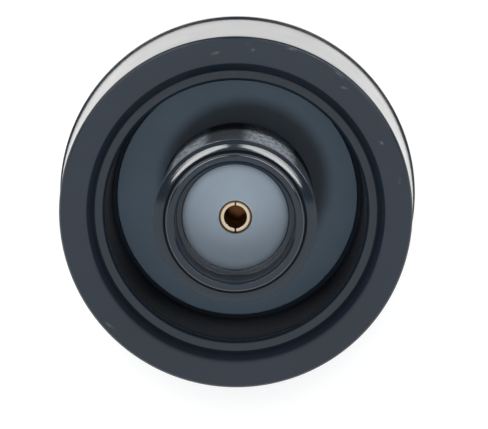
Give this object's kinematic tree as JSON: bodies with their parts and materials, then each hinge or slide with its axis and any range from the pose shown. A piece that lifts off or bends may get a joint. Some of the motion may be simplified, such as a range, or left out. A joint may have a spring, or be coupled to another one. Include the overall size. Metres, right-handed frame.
{
  "type": "shrouded SMA to BNC adapter",
  "caption": "Black coaxial adapter with a shrouded, threaded SMA socket at one end and a bayonet-lugged BNC socket at the other, for the top of a handheld radio.",
  "frame": {"origin": "centre of the BNC end's rim, on the surface that the adapter stands on", "axes": "+Z along the common axis, out of the SMA end; +X through the bayonet lugs; +Y through the spanner flats and the SMA contact's slots"},
  "size_m": [0.015, 0.015, 0.0247],
  "materials": {
    "black_plate": "turned brass under a glossy black electrocoat",
    "ptfe": "turned PTFE, smooth and waxy",
    "gold_plate": "gold-plated spring alloy"
  },
  "bodies": {
    "root": {"shroud": "black_plate", "sma_body": "black_plate", "bnc_body": "black_plate", "sma_insulator": "ptfe", "bnc_insulator": "ptfe", "sma_contact": "gold_plate", "bnc_contact": "gold_plate"}
  },
  "joints": []
}
